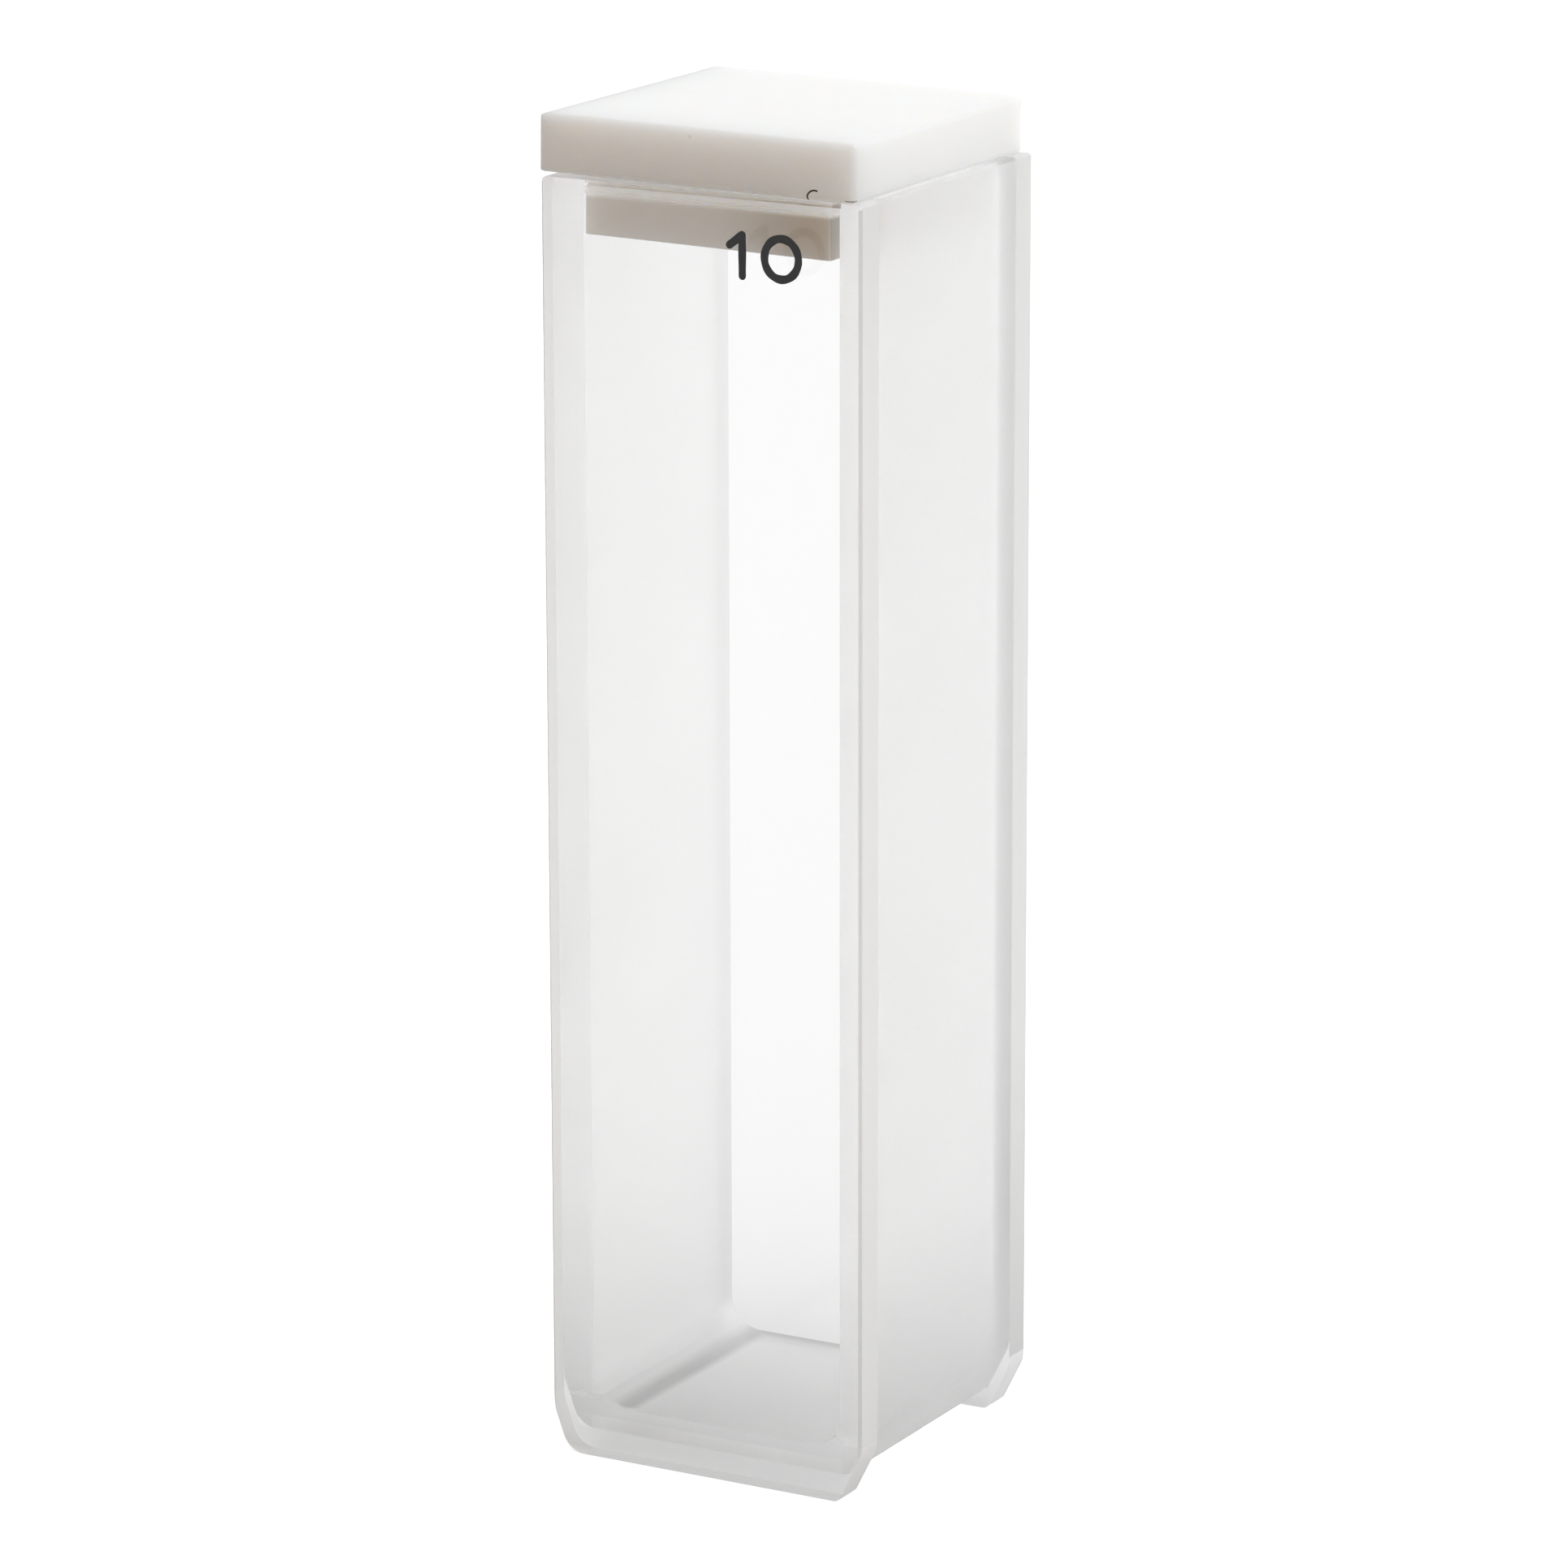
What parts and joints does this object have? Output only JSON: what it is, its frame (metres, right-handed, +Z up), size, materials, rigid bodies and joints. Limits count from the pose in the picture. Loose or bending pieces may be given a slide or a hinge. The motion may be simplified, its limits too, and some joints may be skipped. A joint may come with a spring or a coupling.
{
  "type": "spectrophotometer cuvette with lid",
  "caption": "Square fused quartz cell for optical measurement of liquids, with polished front and rear windows, ground sides and a loose white plug-in lid.",
  "frame": {"origin": "middle of the footprint, on the surface that the feet stand on", "axes": "+Z up along the cell's height, +Y along the light path from the front window to the rear window, +X across the ground sides"},
  "size_m": [0.0126, 0.0126, 0.0482],
  "materials": {
    "polished_quartz": "clear fused quartz, optically polished faces and finely ground edges",
    "ground_quartz": "fused quartz, finely ground and frosted",
    "white_ptfe": "smooth, waxy, slightly translucent white",
    "black_print": "thin fired-on black mark"
  },
  "bodies": {
    "root": {"front_window": "polished_quartz", "rear_window": "polished_quartz", "u_body": "ground_quartz", "lid": "white_ptfe"}
  },
  "joints": []
}
